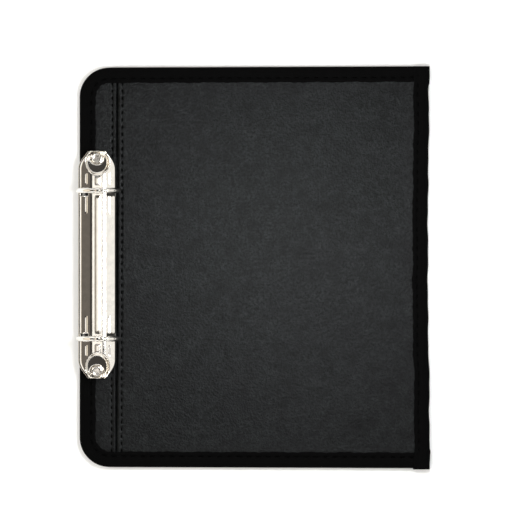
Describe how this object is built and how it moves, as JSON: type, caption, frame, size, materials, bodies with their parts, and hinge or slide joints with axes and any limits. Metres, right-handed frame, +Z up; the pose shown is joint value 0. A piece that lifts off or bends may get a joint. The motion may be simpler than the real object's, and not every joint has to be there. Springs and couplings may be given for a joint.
{
  "type": "ring binder",
  "caption": "Bound leatherette binder leaf with a sewn fold and a riveted ring mechanism whose rings open sideways, for storing trading card pages.",
  "frame": {"origin": "on the surface that the leaf lies on, under the middle of the whole object's outline", "axes": "+X from the ring strip to the fore edge, +Y to the head, +Z up towards the rings"},
  "size_m": [0.1916, 0.217, 0.0267],
  "materials": {
    "stiffener_board": "grey bookbinding board",
    "leatherette": "black fine-grained leatherette, satin",
    "binding_tape": "black woven binding tape, matte",
    "thread": "black sewing thread",
    "nickel_plate": "bright nickel-plated pressed steel",
    "nickel_rivet": "bright nickel-plated tubular rivet",
    "plain_steel": "plain cold-rolled steel",
    "nickel_wire": "bright nickel-plated steel wire"
  },
  "bodies": {
    "spine": {"spine_stiffener": "stiffener_board", "spine_face_leatherette": "leatherette", "spine_back_leatherette": "leatherette", "spine_edge_binding": "binding_tape", "fold_web_spine": "leatherette", "spine_fold_stitches": "thread", "spine_binding_stitches": "thread", "ring_housing": "nickel_plate", "rivet_upper": "nickel_rivet", "rivet_lower": "nickel_rivet"},
    "cover": {"cover_stiffener": "stiffener_board", "cover_face_leatherette": "leatherette", "cover_back_leatherette": "leatherette", "cover_binding_head": "binding_tape", "cover_binding_tail": "binding_tape", "fore_edge_binding": "binding_tape", "fold_web_cover": "leatherette", "cover_fold_stitches": "thread", "cover_binding_stitches": "thread"},
    "left_leaf": {"hinge_plate_left": "plain_steel", "half_ring_left_upper": "nickel_wire", "half_ring_left_lower": "nickel_wire"},
    "right_leaf": {"hinge_plate_right": "plain_steel", "half_ring_right_upper": "nickel_wire", "half_ring_right_lower": "nickel_wire"}
  },
  "joints": [
    {"name": "cover_fold", "type": "hinge", "parent": "spine", "child": "cover", "pos_m": [-0.07358, 0, 0.0026], "axis": [0, -1, 0], "range_deg": [0, 50]},
    {"name": "ring_open", "type": "hinge", "parent": "spine", "child": "left_leaf", "pos_m": [-0.09237, 0.0014, 0.0061], "axis": [0, -1, 0], "range_deg": [0, 20]},
    {"name": "ring_open_right", "type": "hinge", "parent": "spine", "child": "right_leaf", "pos_m": [-0.07477, 0.0014, 0.0061], "axis": [0, 1, 0], "range_deg": [0, 20]}
  ],
  "couplings": [
    {"joint": "ring_open_right", "follows": "ring_open", "ratio": 1}
  ]
}
